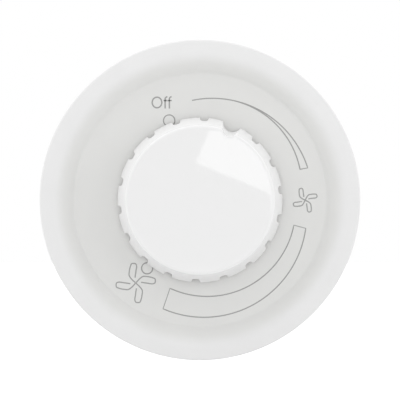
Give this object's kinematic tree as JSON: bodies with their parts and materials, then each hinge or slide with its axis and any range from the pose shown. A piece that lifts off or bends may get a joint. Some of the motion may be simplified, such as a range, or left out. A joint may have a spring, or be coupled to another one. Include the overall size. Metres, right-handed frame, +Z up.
{
  "type": "fan speed control switch",
  "caption": "Round wall switch for fan speed: dished white cover, dial knob with grips and an index notch, and a flush insert with ring, potentiometer, triac board and screw terminals.",
  "frame": {"origin": "the knob's axis where it meets the wall's face, which the cover's back rim lies on", "axes": "+X to the right seen from the room, +Y into the wall along the knob's axis, +Z up the wall"},
  "size_m": [0.08, 0.0502, 0.08],
  "materials": {
    "cover_plastic": "white moulded plastic with a fine matte grain",
    "knob_plastic": "white moulded plastic, glossy",
    "plated_brass": "turned brass, dull nickel plated",
    "zinc_steel": "bright zinc plated",
    "spring_steel": "blued spring steel",
    "sheet_aluminium": "rolled sheet, brushed",
    "shaft_aluminium": "turned",
    "housing_plastic": "black glass-filled nylon, matte",
    "case_plastic": "black phenolic moulding",
    "carrier_plastic": "natural acetal",
    "track_board": "phenolic paper with a carbon track",
    "contact_bronze": "rolled bronze strip",
    "tinned_metal": "tin plated",
    "fuse_cap_metal": "nickel plated",
    "board_laminate": "green solder mask over glass fibre",
    "pad_rubber": "grey silicone sheet",
    "ferrite": "sintered, matte",
    "enamelled_copper": "copper wire with clear enamel",
    "capacitor_box": "yellow potted box",
    "film_box": "red-brown potted box",
    "resistor_body": "lacquered",
    "diode_body": "blue",
    "fuse_glass": "clear tube",
    "terminal_plastic": "light grey moulding",
    "clamp_brass": "bright brass"
  },
  "bodies": {
    "base": {"cover_plate": "cover_plastic", "cover_nut": "plated_brass", "threaded_bush": "plated_brass", "bush_nut": "plated_brass", "mounting_ring": "zinc_steel", "lock_washer": "zinc_steel", "housing_screws": "zinc_steel", "triac_screw": "zinc_steel", "terminal_screws": "zinc_steel", "heat_sink_plate": "sheet_aluminium", "rear_housing": "housing_plastic", "insert_lid": "housing_plastic", "pot_case": "case_plastic", "triac": "case_plastic", "resistor_track": "track_board", "switch_contacts": "contact_bronze", "pot_pins": "tinned_metal", "fuse_clips": "tinned_metal", "fuse_wire": "tinned_metal", "fuse_caps": "fuse_cap_metal", "circuit_board": "board_laminate", "triac_pad": "pad_rubber", "choke_core": "ferrite", "choke_winding": "enamelled_copper", "suppression_capacitor": "capacitor_box", "timing_capacitor": "film_box", "resistors": "resistor_body", "trigger_diode": "diode_body", "fuse_tube": "fuse_glass", "terminal_block": "terminal_plastic", "terminal_clamps": "clamp_brass"},
    "rotor": {"knob": "knob_plastic", "knob_spring_ring": "spring_steel", "shaft": "shaft_aluminium", "shaft_circlip": "spring_steel", "wiper_carrier": "carrier_plastic", "wiper": "contact_bronze", "switch_ring": "contact_bronze"}
  },
  "joints": [
    {"name": "knob_turn", "type": "hinge", "parent": "base", "child": "rotor", "pos_m": [0, 0, 0], "axis": [0, 1, 0], "range_deg": [-44, 195]}
  ]
}
